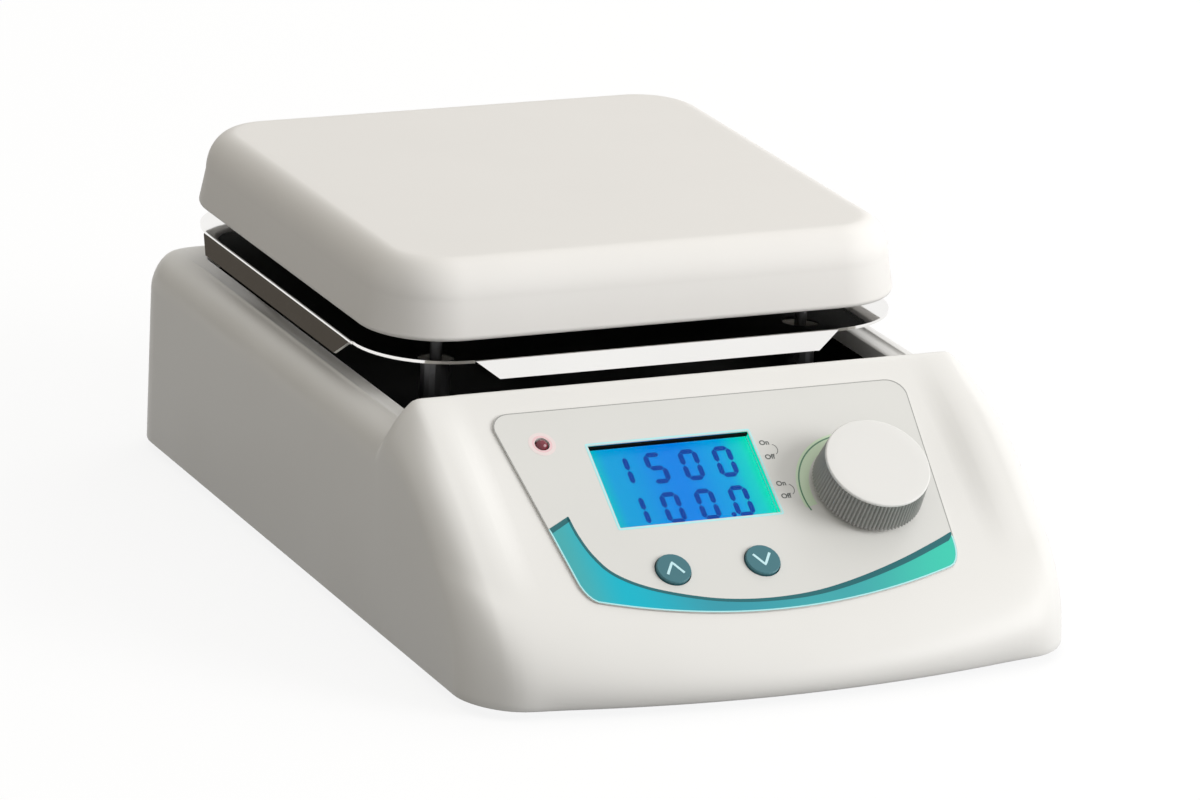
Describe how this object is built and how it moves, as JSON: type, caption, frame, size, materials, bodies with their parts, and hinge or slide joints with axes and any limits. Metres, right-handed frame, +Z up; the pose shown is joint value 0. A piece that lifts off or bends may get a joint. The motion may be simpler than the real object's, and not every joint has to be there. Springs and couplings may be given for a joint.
{
  "type": "hotplate stirrer",
  "caption": "Laboratory hotplate with magnetic stirrer: square white plate on posts over a polished shield, casing with sloping panel, display, keys and push-turn knob.",
  "frame": {"origin": "on the bench, in the middle of the whole length and width", "axes": "+Z up, +X to the user's right, -Y towards the user and the control panel"},
  "size_m": [0.212, 0.3212, 0.115],
  "materials": {
    "white_casing": "fine satin moulding",
    "panel_film": "printed satin film",
    "coated_aluminium": "white ceramic coating on cast aluminium",
    "polished_steel": "mirror polish",
    "post_steel": "turned",
    "dark_sheet": "black powder coat",
    "base_sheet": "zinc plated",
    "screw_steel": "zinc plated",
    "foot_rubber": "matt",
    "motor_steel": "drawn can",
    "magnet_nickel": "nickel plated",
    "carrier_aluminium": "machined",
    "heater_mica": "pressed mica",
    "insulation": "needled ceramic fibre",
    "board_green": "solder mask",
    "board_brass": "turned",
    "black_plastic": "moulded",
    "component_blue": "sleeved",
    "sink_aluminium": "extruded",
    "lcd_glass": "clear window",
    "lcd_body": "blue backlight",
    "lamp_red": "tinted lens",
    "key_teal": "satin",
    "knob_white": "satin moulding",
    "encoder_metal": "stamped",
    "plunger_plastic": "moulded"
  },
  "bodies": {
    "casing": {"housing": "white_casing", "panel_overlay": "panel_film", "base_plate": "base_sheet", "foot_back_left": "foot_rubber", "foot_back_right": "foot_rubber", "foot_front_left": "foot_rubber", "foot_front_right": "foot_rubber", "foot_screw_back_left": "screw_steel", "foot_screw_back_right": "screw_steel", "foot_screw_front_left": "screw_steel", "foot_screw_front_right": "screw_steel", "chassis_pan": "dark_sheet", "pan_screw_back_left": "screw_steel", "pan_screw_back_right": "screw_steel", "pan_screw_front_left": "screw_steel", "pan_screw_front_right": "screw_steel", "post_back_left": "post_steel", "post_back_right": "post_steel", "post_front_left": "post_steel", "post_front_right": "post_steel", "top_plate": "coated_aluminium", "heater_plate": "heater_mica", "insulation_mat": "insulation", "closing_sheet": "dark_sheet", "temperature_probe": "post_steel", "heat_shield": "polished_steel", "motor": "motor_steel", "motor_screw_left": "screw_steel", "motor_screw_right": "screw_steel", "power_board": "board_green", "board_post_back_left": "board_brass", "board_post_back_right": "board_brass", "board_post_front_left": "board_brass", "board_post_front_right": "board_brass", "transformer": "component_blue", "heatsink": "sink_aluminium", "capacitor": "component_blue", "mains_inlet": "black_plastic", "switch_frame": "black_plastic", "display_board": "board_green", "board_screw_upper_left": "screw_steel", "board_screw_upper_right": "screw_steel", "board_screw_lower_left": "screw_steel", "board_screw_lower_right": "screw_steel", "lcd_module": "lcd_body", "lcd_window": "lcd_glass", "hot_lamp": "lamp_red", "up_key_switch": "black_plastic", "down_key_switch": "black_plastic", "encoder_body": "encoder_metal"},
    "stirrer": {"motor_shaft": "post_steel", "magnet_carrier": "carrier_aluminium", "magnet_a": "magnet_nickel", "magnet_b": "magnet_nickel"},
    "push_stem": {"push_plunger": "plunger_plastic"},
    "turning_knob": {"knob": "knob_white", "encoder_shaft": "post_steel"},
    "up_button": {"up_key": "key_teal"},
    "down_button": {"down_key": "key_teal"},
    "power_rocker": {"rocker": "black_plastic"}
  },
  "joints": [
    {"name": "stir_spin", "type": "hinge", "parent": "casing", "child": "stirrer", "pos_m": [0, 0.05336, 0.09], "axis": [0, 0, 1], "continuous": true},
    {"name": "knob_push", "type": "slide", "parent": "casing", "child": "push_stem", "axis": [0, 0.5606, -0.8281], "range_m": [0, 0.0005], "stiffness_N_per_m": 1500, "springref_m": -0.0005},
    {"name": "knob_turn", "type": "hinge", "parent": "push_stem", "child": "turning_knob", "pos_m": [0.0445, -0.10794, 0.05001], "axis": [0, -0.5606, 0.8281], "continuous": true},
    {"name": "up_key_press", "type": "slide", "parent": "casing", "child": "up_button", "axis": [0, 0.5606, -0.8281], "range_m": [0, 0.0006], "stiffness_N_per_m": 800, "springref_m": -0.0005},
    {"name": "down_key_press", "type": "slide", "parent": "casing", "child": "down_button", "axis": [0, 0.5606, -0.8281], "range_m": [0, 0.0006], "stiffness_N_per_m": 800, "springref_m": -0.0005},
    {"name": "rocker_tilt", "type": "hinge", "parent": "casing", "child": "power_rocker", "pos_m": [0.02, 0.15616, 0.031], "axis": [-1, 0, 0], "range_deg": [0, 16]}
  ]
}
